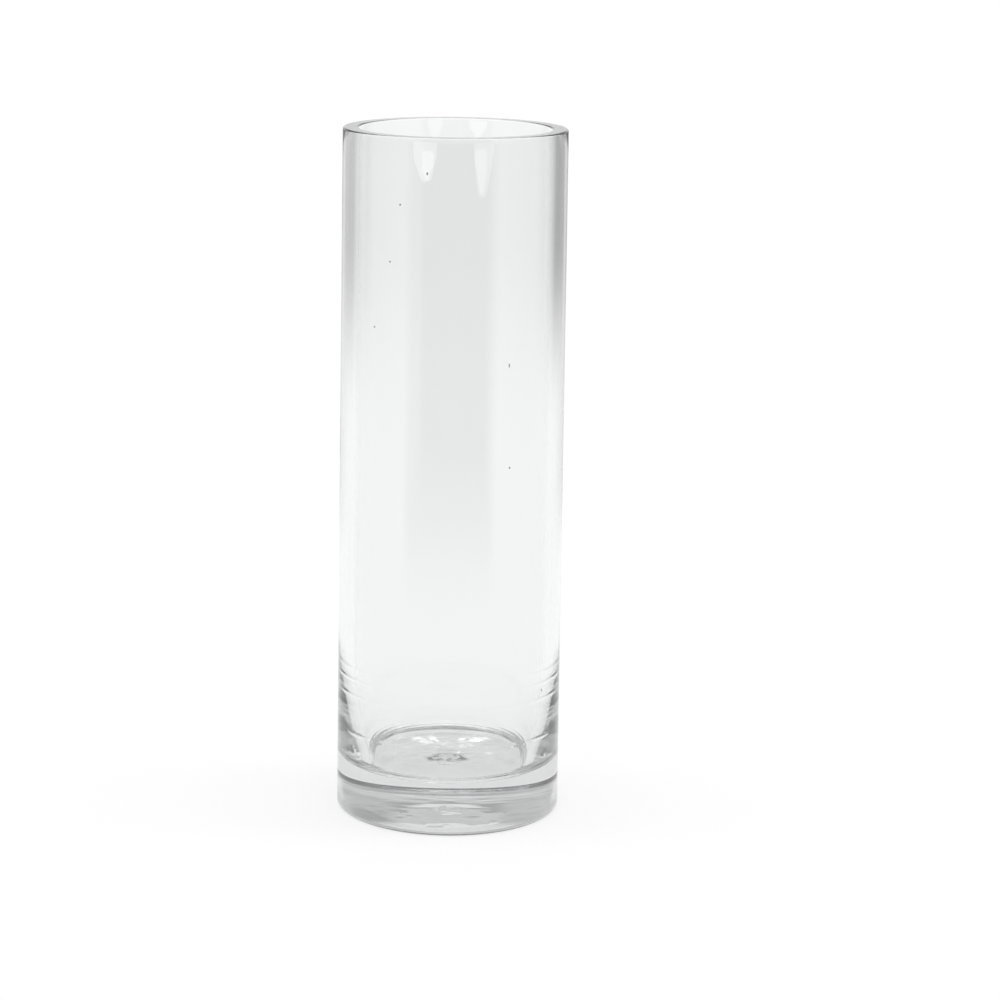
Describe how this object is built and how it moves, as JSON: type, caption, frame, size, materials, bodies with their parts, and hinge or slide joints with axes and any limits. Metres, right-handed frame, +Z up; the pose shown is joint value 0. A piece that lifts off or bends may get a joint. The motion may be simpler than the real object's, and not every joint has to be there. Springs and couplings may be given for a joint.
{
  "type": "glass cylinder vase",
  "caption": "Tall clear glass cylinder vase with straight walls, a heavy solid base and a fire-polished rim, for holding cut flowers in water.",
  "frame": {"origin": "centre of the flat surface the vase stands on", "axes": "+Z up along the vase's own axis, towards the open rim; the shape is the same all round"},
  "size_m": [0.082, 0.082, 0.25],
  "materials": {
    "clear_glass": "clear soda-lime glass, fire-polished, faint green tint"
  },
  "bodies": {
    "root": {"heavy_base": "clear_glass", "lower_wall": "clear_glass", "wall": "clear_glass", "lip": "clear_glass"}
  },
  "joints": []
}
